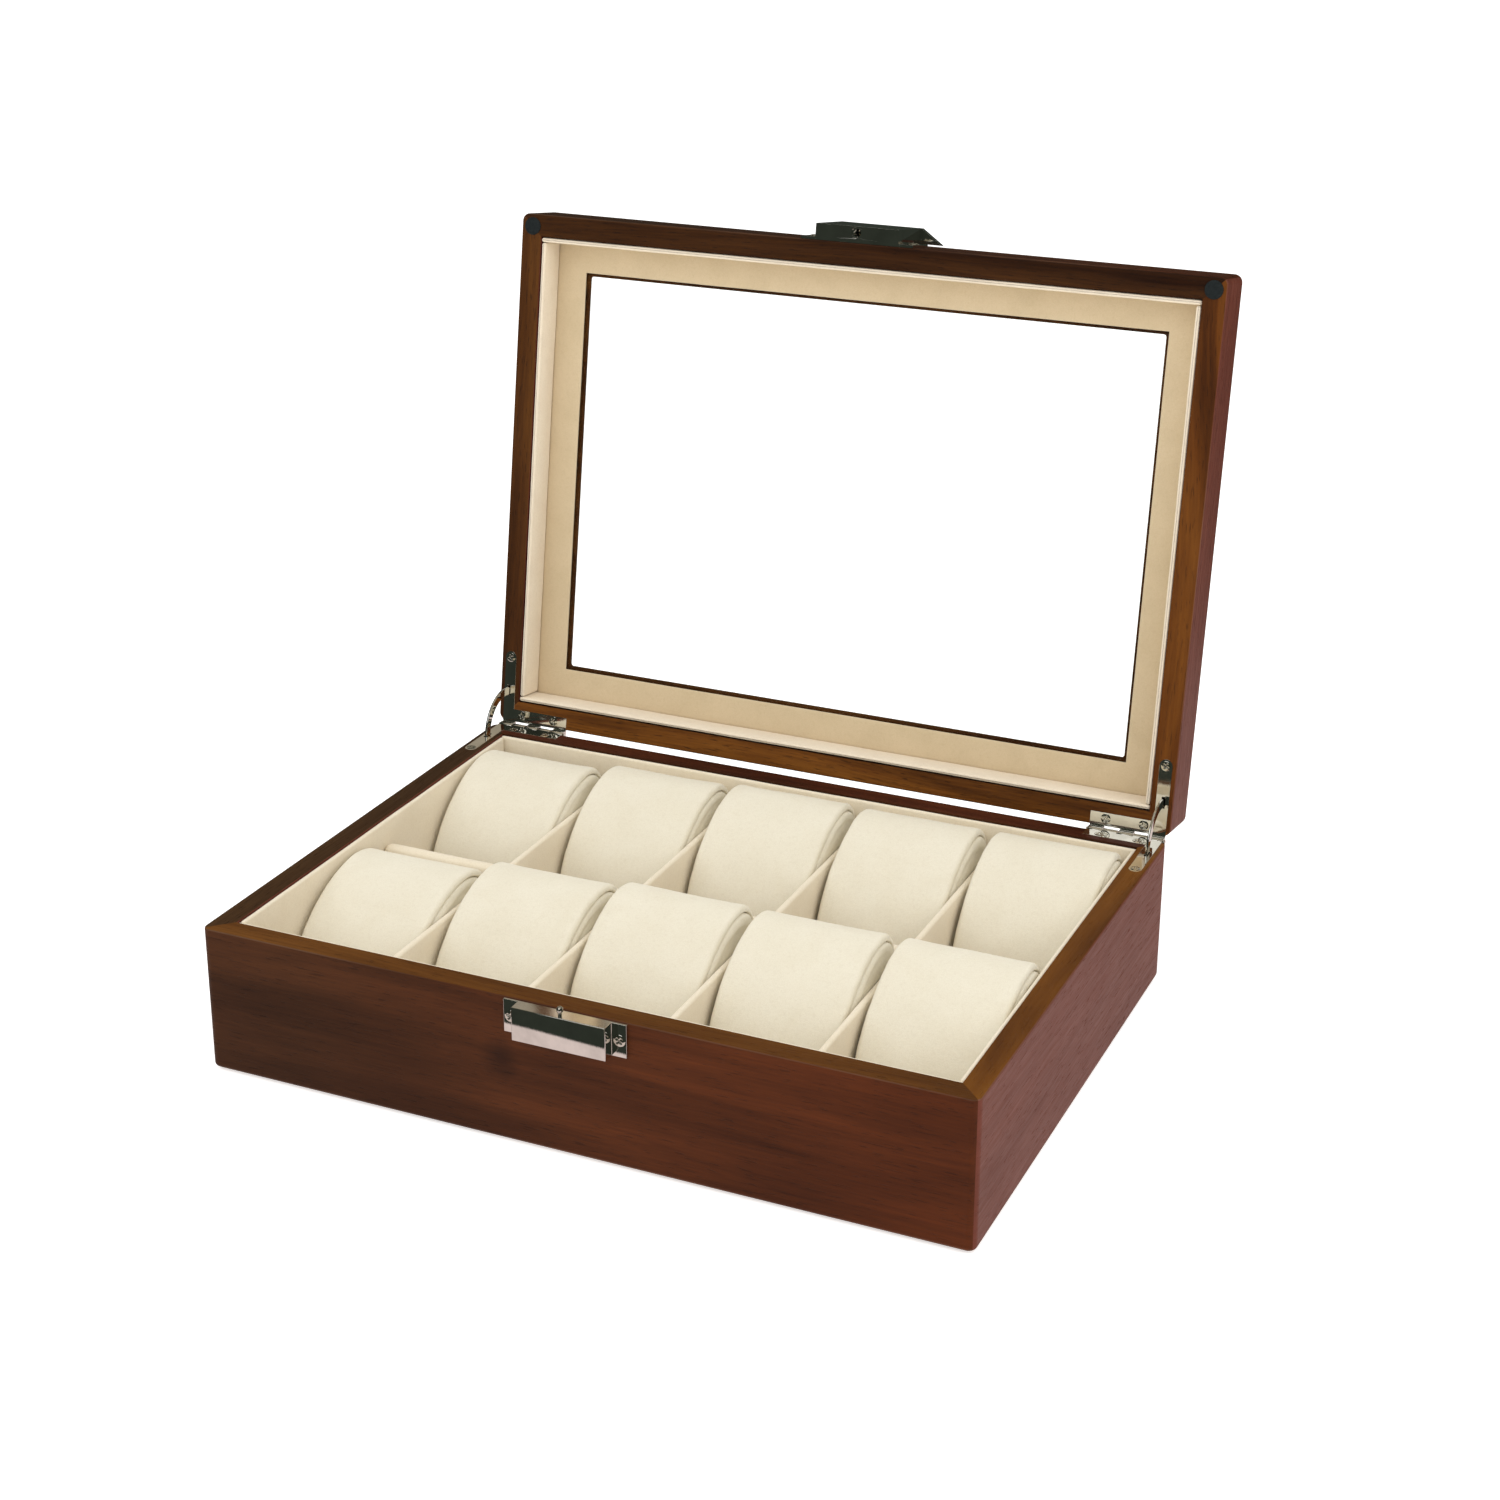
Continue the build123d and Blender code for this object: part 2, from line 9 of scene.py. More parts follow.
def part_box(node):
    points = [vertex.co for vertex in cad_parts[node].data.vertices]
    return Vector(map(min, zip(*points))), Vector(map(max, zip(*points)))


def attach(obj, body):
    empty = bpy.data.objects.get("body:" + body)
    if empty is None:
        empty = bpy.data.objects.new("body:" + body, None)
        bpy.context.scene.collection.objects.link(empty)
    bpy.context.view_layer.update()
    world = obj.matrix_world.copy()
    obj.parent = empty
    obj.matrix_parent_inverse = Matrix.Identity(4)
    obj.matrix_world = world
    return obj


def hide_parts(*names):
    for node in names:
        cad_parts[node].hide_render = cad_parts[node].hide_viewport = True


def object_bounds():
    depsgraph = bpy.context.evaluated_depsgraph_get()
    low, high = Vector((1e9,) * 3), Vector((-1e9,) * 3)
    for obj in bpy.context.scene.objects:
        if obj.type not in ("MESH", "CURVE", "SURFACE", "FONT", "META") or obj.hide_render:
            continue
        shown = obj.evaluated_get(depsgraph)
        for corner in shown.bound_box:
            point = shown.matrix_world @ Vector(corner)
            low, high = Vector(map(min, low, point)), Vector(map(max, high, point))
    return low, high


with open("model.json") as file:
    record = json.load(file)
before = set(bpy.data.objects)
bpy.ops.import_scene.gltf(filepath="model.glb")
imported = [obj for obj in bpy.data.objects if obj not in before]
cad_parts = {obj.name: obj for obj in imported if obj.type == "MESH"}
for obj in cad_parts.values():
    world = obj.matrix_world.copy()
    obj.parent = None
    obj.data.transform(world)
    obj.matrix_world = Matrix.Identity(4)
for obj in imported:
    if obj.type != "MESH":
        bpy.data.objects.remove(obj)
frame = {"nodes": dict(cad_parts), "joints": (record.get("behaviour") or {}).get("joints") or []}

CAD_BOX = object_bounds()
NODES = frame["nodes"]

# ---- the lid, which is stored open ----
HINGE = next(j for j in frame["joints"] if j["name"] == "lid_hinge")
PIVOT = Vector(HINGE["pos_m"])
OPEN_ANGLE = -radians(HINGE["range_deg"][0])
SWING = (Matrix.Translation(PIVOT)
         @ Matrix.Rotation(OPEN_ANGLE, 4, Vector(HINGE["axis"]))
         @ Matrix.Translation(-PIVOT))
UNSWING = SWING.inverted()

# ---- pillows, in metres ----
COLUMNS = 5
PILLOW_A = 0.0390           # half of the oval's long axis
PILLOW_B = 0.0228           # half of its short axis
BAND = 0.0030               # thickness of the padded band
BAND_RIM = 0.0019           # how far in from its rim the band starts to curve over
SLIT_HALF = 0.0040          # half of the slit under the band
CAP_RECESS = 0.0006         # from the band's rim in to the seam of the core's end
CAP_PAD = 0.0008            # how far the core's end stands up from its seam
# sizes of the rings of points on that end, as shares of its outline
CAP_SHARES = (0.10, 0.26, 0.42, 0.56, 0.68, 0.77, 0.83, 0.88, 0.92, 0.96, 1.0)
CORE_GAP = 0.0003           # between the core and the band round it
FOLD_AT = 0.80              # where the pinched fold runs, from the cap's middle to its seam
FOLD_WIDTH = 0.032
FOLD_DEPTH = 0.0012
FOLD_VARIES = 0.0008        # most that a pillow's fold may be deeper or shallower than that
BAND_PUFF = 0.0007          # furthest that the simulation may move the band
CORE_PUFF = 0.0014
SIM_SCALE = 8.0             # cloth is simulated this much larger
SIM_STEPS = 20

# ---- linings ----
BOARD_CELL = 0.006
TRAY_LINING_EDGE = 0.0011
FLOOR_LINING_EDGE = 0.0006
LID_LINING_EDGE = 0.0012
BOLSTER_EDGE = 0.0032
DIVIDER_EDGE = 0.00145
MAT_ROLL = 0.45             # depth of the mat's rolled edge, as a share of its thickness
LINING_SHADOW = 0.0003      # shadow line between the lid's linings and the wood

# ---- metal ----
LATCH_EDGE = 0.00025
HINGE_EDGE = 0.00018
SCREW_REACH = 0.0095        # every point of a screw is nearer to its others than this
LEAF_SCREW_DOME = 0.00022
LATCH_SCREW_DOME = 0.00050
HEAD_OVERLAP = 1.04         # a dome's radius, as a share of the CAD head's
CROSS_HALF = 0.15           # half width of the cross, as a share of the head's radius
CROSS_REACH = 0.62
CROSS_LEVEL = 0.12

# ---- floor ----
FLOOR_HALF = 6.0
FLOOR_GAP = 0.0002          # below the felt, so that the two never coincide

# ---- camera ----
SENSOR, LENS = 36.0, 63.38
SHIFT = (0.0150, -0.0533)
AZIMUTH, ELEVATION, ROLL = 0.42912, 0.36530, -0.00083
CAMERA_PLACE = (0.42326, -0.89800, 0.53864)

# ---- light: place, size, power, colour, and whether polished metal sees it ----
LIGHTS = {
    "overhead": ((0.10, 0.20, 1.5), (1.4, 1.2), 2.4, (1, 1, 1), False),
    "front": ((-0.2, -1.3, 1.3), (1.2, 0.9), 3.9, (1, 1, 1), True),
    "right": ((1.3, -0.4, 1.3), (1.0, 1.0), 5.8, (1.0, 0.98, 0.95), False),
    "left": ((-1.3, -0.6, 1.2), (0.9, 0.9), 2.4, (1.0, 0.99, 0.97), False),
}

# ---- velvets: the colour of the raised nap, and of the nap that lies flat ----
VELVETS = {
    "velvet_lining": ((0.86, 0.755, 0.60), (0.82, 0.71, 0.56)),
    "velvet_tray": ((0.85, 0.765, 0.61), (0.82, 0.73, 0.57)),
    "velvet_cream": ((0.825, 0.775, 0.64), (0.80, 0.745, 0.605)),
    "velvet_mat": ((0.66, 0.535, 0.355), (0.62, 0.50, 0.325)),
}

# ---- nickel: its tint and how worn it is ----
NICKELS = {
    "nickel_plate": ((0.80, 0.78, 0.72), 1.0),
    "nickel_mirror": ((0.82, 0.79, 0.74), 0.06),
    "nickel_screws": ((0.74, 0.72, 0.64), 1.0),
}


# =============================================================== node helpers

class Graph:
    """Adds nodes to a tree, each with its inputs set or linked."""

    def __init__(self, tree):
        self.tree = tree

    def node(self, kind, values=None, **settings):
        made = self.tree.nodes.new(kind)
        for key, value in settings.items():
            setattr(made, key, value)
        for key, value in (values or {}).items():
            if isinstance(value, bpy.types.NodeSocket):
                self.tree.links.new(value, made.inputs[key])
            else:
                made.inputs[key].default_value = value
        return made

    def split(self, vector):
        return self.node("ShaderNodeSeparateXYZ", {"Vector": vector}).outputs

    def place(self, rotation=None, offset=(0, 0, 0)):
        """Object coordinates, turned into the piece's own directions."""
        where = self.node("ShaderNodeTexCoord").outputs["Object"]
        turn = (rotation or Matrix.Identity(3)).to_euler()
        values = {"Vector": where, "Rotation": turn, "Location": offset}
        return self.node("ShaderNodeMapping", values).outputs["Vector"]

    def stretched(self, where, scale):
        return self.node("ShaderNodeMapping", {"Vector": where, "Scale": scale}).outputs["Vector"]

    def noise(self, where, scale, detail=3.0, rough=0.5, distortion=0.0):
        values = {"Vector": where, "Scale": scale, "Detail": detail, "Roughness": rough,
                  "Distortion": distortion}
        return self.node("ShaderNodeTexNoise", values).outputs["Fac"]

    def ramp(self, value, *stops):
        made = self.node("ShaderNodeValToRGB", {"Fac": value})
        elements = made.color_ramp.elements
        while len(elements) < len(stops):
            elements.new(0.5)
        for element, (position, colour) in zip(elements, stops):
            element.position = position
            element.color = (*colour, 1)
        return made.outputs["Color"]

    def remap(self, value, low, high, to_low=0.0, to_high=1.0):
        values = {"Value": value, "From Min": low, "From Max": high,
                  "To Min": to_low, "To Max": to_high}
        return self.node("ShaderNodeMapRange", values).outputs["Result"]

    def band(self, value, start, full, end, gone):
        """1 between full and end, fading to 0 at start and gone."""
        return self.math("MULTIPLY", self.remap(value, start, full),
                         self.remap(value, end, gone, 1.0, 0.0))

    def math(self, operation, a, b):
        return self.node("ShaderNodeMath", {0: a, 1: b}, operation=operation).outputs["Value"]

    def mix(self, factor, a, b, blend="MIX"):
        """Two colours mixed. Inputs 0, 6 and 7 are the factor and the colours A and B."""
        a, b = (c if isinstance(c, bpy.types.NodeSocket) else (*c, 1) for c in (a, b))
        made = self.node("ShaderNodeMix", {0: factor, 6: a, 7: b}, data_type="RGBA",
                         blend_type=blend)
        return made.outputs[2]

    def bump(self, height, distance, strength=1.0, normal=None):
        values = {"Height": height, "Distance": distance, "Strength": strength}
        if normal is not None:
            values["Normal"] = normal
        return self.node("ShaderNodeBump", values).outputs["Normal"]


class Look(Graph):
    """A principled material that is built up node by node."""

    def __init__(self, name, **sockets):
        self.material = bpy.data.materials.new(name)
        self.material.use_nodes = True
        super().__init__(self.material.node_tree)
        self.shader = self.tree.nodes["Principled BSDF"]
        for key, value in sockets.items():
            self.shader.inputs[key.replace("_", " ")].default_value = value

    def feed(self, **outputs):
        for key, value in outputs.items():
            self.tree.links.new(value, self.shader.inputs[key.replace("_", " ")])
        return self.material


# ================================================================== materials

def wood(name, rotation, seed, face, rim, rim_way, grain):
    """Stained, satin-lacquered wood, its grain along the first axis that rotation gives.

    The board's rim, which faces rim_way, and its opposite edge get a colour of their own, matched
    board by board: partly the wood's own tint and partly painted light, since the rims and the
    faces were lit differently.
    grain below 1 gives a plainer board.
    """
    look = Look(name, Coat_Weight=0.05, Coat_Roughness=0.20, Specular_IOR_Level=0.11)
    where = look.place(rotation, (seed * 1.37, seed * 0.71, seed * 0.43))
    bend = look.noise(look.stretched(where, (3, 14, 14)), 1.0, 2.0)
    shift = look.node("ShaderNodeCombineXYZ", {"Y": look.remap(bend, 0, 1, -0.012, 0.012)})
    where = look.node("ShaderNodeVectorMath", {0: where, 1: shift.outputs["Vector"]},
                      operation="ADD").outputs["Vector"]
    figure = look.noise(look.stretched(where, (4.5, 70, 70)), 1.0, 6.0, 0.6, 0.4)
    broad = look.noise(look.stretched(where, (7, 22, 22)), 1.0, 2.0)
    fibre = look.noise(look.stretched(where, (35, 950, 950)), 1.0, 3.0, 0.6)
    pores = look.noise(look.stretched(where, (140, 1700, 1700)), 1.0, 1.0)
    pores = look.remap(pores, 0.63, 0.70)
    tone = look.math("ADD", look.math("MULTIPLY", figure, 0.62),
                     look.math("MULTIPLY", broad, 0.38))
    on_face, on_rim = (look.ramp(tone, *zip((0.36, 0.50, 0.66), stain)) for stain in (face, rim))
    faces = look.node("ShaderNodeTexCoord").outputs["Normal"]
    upward = look.node("ShaderNodeVectorMath", {0: faces, 1: rim_way},
                       operation="DOT_PRODUCT").outputs["Value"]
    upward = look.math("ABSOLUTE", upward, 0.0)
    if name.endswith("front_wall"):
        on_face = redder_and_knotted(look, on_face)
    if name == "wood_base_front_wall":
        left = look.remap(look.split(where)[0], -0.14, 0.06, 1.0, 0.0)
        on_rim = look.mix(left, on_rim, (0.50, 0.56, 0.70), "MULTIPLY")
    # partly painted light: faces turned to rim_way take the rim's colour, which holds the rims'
    # different light as well as their tint
    colour = look.mix(look.remap(upward, 0.70, 0.95), on_face, on_rim)
    lines = look.remap(fibre, 0.30, 0.70, 0.0, 0.38 * grain)
    colour = look.mix(lines, colour, (0.35, 0.25, 0.20), "MULTIPLY")
    colour = look.mix(look.math("MULTIPLY", pores, 0.36 * grain), colour, (0.010, 0.004, 0.002))
    # painted highlight: a lighter colour along the rounded edges between face and rim, standing in
    # for the bright line the light puts on them
    rounding = look.band(upward, 0.20, 0.45, 0.80, 0.94)
    painted_edge_highlight = look.math("MULTIPLY", rounding, look.remap(broad, 0.35, 0.65, 0.0, 0.35))
    colour = look.mix(painted_edge_highlight, colour, (0.19, 0.11, 0.065))
    rough = look.math("ADD", look.remap(fibre, 0.3, 0.7, 0.36, 0.50),
                      look.math("MULTIPLY", pores, 0.2))
    normal = look.bump(fibre, 0.00006, 0.5)
    normal = look.bump(look.math("SUBTRACT", 1.0, pores), 0.00012, 0.6, normal)
    return look.feed(Base_Color=colour, Roughness=rough, Normal=normal)


def redder_and_knotted(look, colour):
    """The front boards: redder towards the right, the tray's with a soft dark knot."""
    where = look.place()
    along = look.split(where)[0]
    colour = look.mix(look.remap(along, -0.12, 0.15), colour, (1.75, 1.14, 0.60), "MULTIPLY")
    away = look.node("ShaderNodeVectorMath", {0: where, 1: KNOT}, operation="DISTANCE")
    wobble = look.noise(where, 90.0, 2.0)
    reach = look.math("ADD", away.outputs["Value"], look.remap(wobble, 0, 1, -0.004, 0.004))
    return look.mix(look.remap(reach, 0.002, 0.010, 0.55, 0.0), colour, (0.012, 0.005, 0.003))


def velvet(name, seed):
    """Short-pile velvet: cloudy nap, fine fibres and a soft sheen at grazing angles."""
    colour, shade = VELVETS[name]
    look = Look(name, Sheen_Weight=0.35, Sheen_Roughness=0.45, Specular_IOR_Level=0.12,
                Sheen_Tint=(1.0, 0.97, 0.90, 1))
    where = look.place(None, (seed * 0.9, seed * 0.5, seed * 0.7))
    clouds = look.noise(where, 55.0, 3.0, 0.55, 0.6)
    pile = look.noise(where, 2600.0, 2.0, 0.6)
    tufts = look.noise(where, 700.0, 3.0, 0.6)
    base = look.ramp(clouds, (0.30, shade), (0.62, colour))
    base = look.mix(look.remap(pile, 0.35, 0.65, 0.0, 0.30), base, (0.80, 0.76, 0.70), "MULTIPLY")
    base = look.mix(look.remap(tufts, 0.50, 0.75, 0.0, 0.16), base, (0.72, 0.66, 0.58), "MULTIPLY")
    rough = look.remap(pile, 0.3, 0.7, 0.86, 0.98)
    normal = look.bump(tufts, 0.00022, 0.45)
    normal = look.bump(pile, 0.00012, 0.55, normal)
    return look.feed(Base_Color=base, Roughness=rough, Normal=normal)


def felt():
    look = Look("felt_brown", Sheen_Weight=0.25, Sheen_Roughness=0.6, Specular_IOR_Level=0.1)
    where = look.place()
    fibres = look.noise(where, 900.0, 4.0, 0.7, 1.5)
    colour = look.ramp(fibres, (0.35, (0.020, 0.013, 0.009)), (0.70, (0.055, 0.036, 0.026)))
    rough = look.remap(fibres, 0.3, 0.7, 0.88, 1.0)
    return look.feed(Base_Color=colour, Roughness=rough, Normal=look.bump(fibres, 0.0004, 0.8))


def nickel(name):
    """Polished nickel plate with faint smudges and hairline scratches."""
    tint, wear = NICKELS[name]
    look = Look(name, Metallic=1.0)
    where = look.place()
    smudges = look.noise(where, 130.0, 3.0, 0.5)
    hairs = look.noise(look.stretched(where, (5200, 260, 260)), 1.0, 2.0)
    waves = look.noise(where, 38.0, 1.0)
    colour = look.ramp(smudges, (0.30, tuple(c * 0.84 for c in tint)), (0.65, tint))
    rough = look.math("ADD", look.remap(smudges, 0.35, 0.70, 0.02 * wear, 0.05 * wear),
                      look.remap(hairs, 0.5, 0.8, 0.0, 0.04 * wear))
    if wear < 1.0:          # the top of a polished block is brushed
        upward = look.split(look.node("ShaderNodeTexCoord").outputs["Normal"])[2]
        rough = look.math("ADD", rough, look.remap(upward, 0.85, 0.99, 0.0, 0.09))
    normal = look.bump(waves, 0.00012, 0.3 * wear)
    normal = look.bump(hairs, 0.00001, 0.4 * wear, normal)
    return look.feed(Base_Color=colour, Roughness=rough, Normal=normal)


def rubber():
    look = Look("rubber_black", Specular_IOR_Level=0.3)
    where = look.place()
    grain = look.noise(where, 1500.0, 3.0)
    colour = look.ramp(grain, (0.3, (0.006, 0.010, 0.011)), (0.7, (0.014, 0.020, 0.021)))
    rough = look.remap(grain, 0.3, 0.7, 0.55, 0.75)
    return look.feed(Base_Color=colour, Roughness=rough, Normal=look.bump(grain, 0.0001, 0.5))


def clear_glass():
    """A clean pane: seen straight through, with its own surface reflection."""
    look = Look("clear_glass")
    nodes, links = look.tree.nodes, look.tree.links
    nodes.remove(look.shader)
    clear = look.node("ShaderNodeBsdfTransparent", {"Color": (0.99, 0.995, 0.99, 1)})
    gloss = look.node("ShaderNodeBsdfGlossy", {"Roughness": 0.02, "Color": (1, 1, 1, 1)})
    ripple = look.noise(look.place(), 9.0, 1.0)
    links.new(look.bump(ripple, 0.0002, 0.2), gloss.inputs["Normal"])
    grazing = look.node("ShaderNodeLayerWeight", {"Blend": 0.5}).outputs["Facing"]
    mirrored = look.math("MULTIPLY", look.math("POWER", grazing, 5.0), 0.90)
    mirrored = look.math("ADD", mirrored, 0.04)
    mixed = look.node("ShaderNodeMixShader", {0: mirrored, 1: clear.outputs[0],
                                              2: gloss.outputs[0]})
    links.new(mixed.outputs[0], nodes["Material Output"].inputs["Surface"])
    return look.material


def pale_floor():
    look = Look("pale_floor", Roughness=0.9, Specular_IOR_Level=0.1,
                Emission_Color=(1, 1, 1, 1), Emission_Strength=0.56)
    mottle = look.noise(look.place(), 3.0, 2.0)
    colour = look.ramp(mottle, (0.3, (0.90, 0.90, 0.90)), (0.7, (0.92, 0.92, 0.92)))
    return look.feed(Base_Color=colour)


# ============================================================== finishing CAD

ALONG_X = Matrix.Identity(3)
ALONG_Y = Matrix.Rotation(-pi / 2, 3, "Z")
LID_TURN = UNSWING.to_3x3()

KNOT = (-0.0285, -0.120, 0.036)     # middle of the knot in the tray's front board
RIM_UP = Vector((0, 0, 1))
LID_RIM_WAY = SWING.to_3x3() @ Vector((0, 0, -1))

STAINS_AND_PAINTED_LIGHT = {                   # each from its darkest streaks to its lightest
    "front": ((0.031, 0.0100, 0.0030), (0.048, 0.0155, 0.0044), (0.078, 0.0245, 0.0065)),
    # side: painted light: walls facing left and right get a lighter, redder colour than the front
    # boards, standing in for the key light from the right
    "side": ((0.130, 0.034, 0.020), (0.143, 0.038, 0.0225), (0.158, 0.043, 0.026)),
    "golden": ((0.068, 0.019, 0.0020), (0.150, 0.050, 0.0045), (0.220, 0.085, 0.0090)),
    "amber": ((0.046, 0.0140, 0.0020), (0.108, 0.036, 0.0042), (0.170, 0.062, 0.0082)),
    "rust": ((0.028, 0.0075, 0.0035), (0.066, 0.0170, 0.0072), (0.110, 0.031, 0.0125)),
    "olive": ((0.026, 0.0105, 0.0028), (0.056, 0.025, 0.0080), (0.092, 0.043, 0.0150)),
    "brown": ((0.034, 0.010, 0.0015), (0.080, 0.026, 0.0040), (0.125, 0.046, 0.0080)),
    "deep": ((0.024, 0.0068, 0.0014), (0.052, 0.0175, 0.0034), (0.082, 0.029, 0.0062)),
    "warm": ((0.062, 0.018, 0.0022), (0.205, 0.070, 0.0090), (0.310, 0.118, 0.0170)),
    "orange": ((0.034, 0.0085, 0.0015), (0.125, 0.036, 0.0035), (0.200, 0.068, 0.0085)),
}

BOARDS = {                  # grain, face, rim, the way the rim faces, strength of the grain
    "base_front_wall": (ALONG_X, "front", "amber", RIM_UP, 0.8),
    "base_back_wall": (ALONG_X, "front", "rust", RIM_UP, 0.8),
    "base_left_wall": (ALONG_Y, "side", "olive", RIM_UP, 0.7),
    "base_right_wall": (ALONG_Y, "side", "golden", RIM_UP, 0.30),
    "base_bottom_panel": (ALONG_X, "brown", "brown", RIM_UP, 1.0),
    "lid_front_wall": (LID_TURN, "front", "deep", LID_RIM_WAY, 1.5),
    "lid_back_wall": (LID_TURN, "front", "warm", LID_RIM_WAY, 1.6),
    "lid_left_wall": (ALONG_Y @ LID_TURN, "side", "brown", LID_RIM_WAY, 1.2),
    "lid_right_wall": (ALONG_Y @ LID_TURN, "side", "orange", LID_RIM_WAY, 1.0),
    "lid_top_panel": (LID_TURN, "brown", "brown", LID_RIM_WAY, 0.9),
}


def finish_node(name, material):
    mesh = NODES[name].data
    mesh.materials.clear()
    mesh.materials.append(material)


def soften(name, width):
    """Round the hard edges of a CAD piece a little, so that they catch the light."""
    piece = NODES[name]
    weld = piece.modifiers.new("Weld", "WELD")
    weld.merge_threshold = 1e-6
    bevel = piece.modifiers.new("Bevel", "BEVEL")
    bevel.width = width
    bevel.segments = 2
    bevel.limit_method = "ANGLE"
    bevel.angle_limit = radians(50)
    bevel.harden_normals = True


def finish_cad():
    """Materials of the CAD pieces that stay."""
    for seed, (name, (rotation, face, rim, rim_way, grain)) in enumerate(BOARDS.items()):
        stains_and_painted_light = STAINS_AND_PAINTED_LIGHT[face], STAINS_AND_PAINTED_LIGHT[rim]
        finish_node(name, wood(f"wood_{name}", rotation, seed + 1, *stains_and_painted_light, rim_way, grain))
    plated, mirror, screws = (nickel(name) for name in NICKELS)
    for name in NODES:
        if name.startswith(("hinge", "latch")):
            finish_node(name, plated)
        elif name.endswith("screws"):
            finish_node(name, screws)
    for name in ("latch_lower_body", "latch_upper_catch"):
        soften(name, LATCH_EDGE)
        finish_node(name, mirror)
    for side in ("left", "right"):
        for part in ("base_leaf", "lid_leaf", "arm"):
            soften(f"hinge_{side}_{part}", HINGE_EDGE)
    make_screw_heads(screws)
    finish_node("base_felt", felt())
    finish_node("lid_glass", clear_glass())
    finish_node("lid_bumpers", rubber())


# ============================================================== mesh building

def new_piece(name, points, faces, material, body):
    mesh = bpy.data.meshes.new(name)
    mesh.from_pydata([tuple(p) for p in points], [], faces)
    mesh.update()
    mesh.polygons.foreach_set("use_smooth", [True] * len(mesh.polygons))
    mesh.materials.append(material)
    piece = bpy.data.objects.new(name, mesh)
    bpy.context.scene.collection.objects.link(piece)
    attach(piece, body)
    return piece


def subdivide(piece):
    smoother = piece.modifiers.new("Subdivision", "SUBSURF")
    smoother.levels = 1
    smoother.render_levels = 1


def tube(rings):
    """Points and faces of a closed skin over a row of rings, with a pole at each end."""
    rows, around = rings.shape[:2]
    points = [*rings.reshape(-1, 3), rings[0].mean(0), rings[-1].mean(0)]
    first_pole, last_pole = rows * around, rows * around + 1
    faces = []
    for i in range(around):
        j = (i + 1) % around
        faces.append((first_pole, j, i))
        last = (rows - 1) * around
        faces.append((last_pole, last + i, last + j))
        for row in range(rows - 1):
            a, b = row * around, (row + 1) * around
            faces.append((a + i, a + j, b + j, b + i))
    return np.array(points), faces


def quads(rows, around, closed=False):
    """Faces between neighbouring rings, and from the last ring to the first if closed."""
    faces = []
    for row in range(rows if closed else rows - 1):
        a, b = row * around, (row + 1) % rows * around
        for i in range(around):
            j = (i + 1) % around
            faces.append((a + i, b + i, b + j, a + j))
    return faces


def spaced(length, cell, edge):
    """Positions across a board's side: close together at its rounded edges, then even."""
    near = [0.0, edge * 0.25, edge * 0.6, edge]
    cells = max(1, round((length - 2 * edge) / cell))
    middle = np.linspace(edge, length - edge, cells + 1)[1:-1]
    return np.array([*near, *middle, *[length - v for v in reversed(near)]])


def rounded_box(low, high, radius, cell):
    """Points and faces of a box with rounded edges, as a fine grid over its six sides."""
    low, high = np.array(low), np.array(high)
    radius = min(radius, (high - low).min() * 0.499)
    lines = [spaced(high[k] - low[k], cell, radius) for k in range(3)]
    index, points, faces = {}, [], []

    def vertex(key):
        if key not in index:
            index[key] = len(points)
            spot = np.array([lines[k][key[k]] for k in range(3)]) + low
            core = np.clip(spot, low + radius, high - radius)
            away = spot - core
            length = np.linalg.norm(away)
            points.append(core + away / length * radius if length > 0 else spot)
        return index[key]

    for axis in range(3):
        u, v = (axis + 1) % 3, (axis + 2) % 3
        for side in (0, len(lines[axis]) - 1):
            for i in range(len(lines[u]) - 1):
                for j in range(len(lines[v]) - 1):
                    corners = []
                    for di, dj in ((0, 0), (1, 0), (1, 1), (0, 1)):
                        key = [0, 0, 0]
                        key[axis], key[u], key[v] = side, i + di, j + dj
                        corners.append(vertex(tuple(key)))
                    faces.append(tuple(corners if side else reversed(corners)))
    return np.array(points), faces


def hollowed(points, faces, depth, size, seed):
    """The points moved inwards a little and unevenly, as cloth over card or foam lies."""
    mesh = bpy.data.meshes.new("normals")
    mesh.from_pydata([tuple(p) for p in points], [], faces)
    mesh.update()
    normals = np.array([v.normal for v in mesh.vertices])
    bpy.data.meshes.remove(mesh)
    offset = Vector((seed * 3.1, seed * 1.7, seed * 2.3))
    amounts = np.array([0.5 + 0.5 * noise.noise(Vector(p) / size + offset) for p in points])
    return points - normals * (amounts * depth)[:, None]


def swung(points):
    """Points of the shut lid, moved to where the open lid has them."""
    return np.array([SWING @ Vector(p) for p in points])


def shut_box(name):
    """Lowest and highest corner of a lid piece with the lid shut."""
    points = np.array([UNSWING @ v.co for v in NODES[name].data.vertices])
    return points.min(0), points.max(0)


# =================================================================== linings

def covered_board(name, low, high, radius, material, body, node, seed):
    """A thin board covered in velvet, in place of a plain lining board."""
    points, faces = rounded_box(low, high, radius, BOARD_CELL)
    points = hollowed(points, faces, depth=0.00025, size=0.022, seed=seed)
    if body == "lid":
        points = swung(points)
    piece = new_piece(name, points, faces, material, body)
    if node:
        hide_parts(node)
    return piece


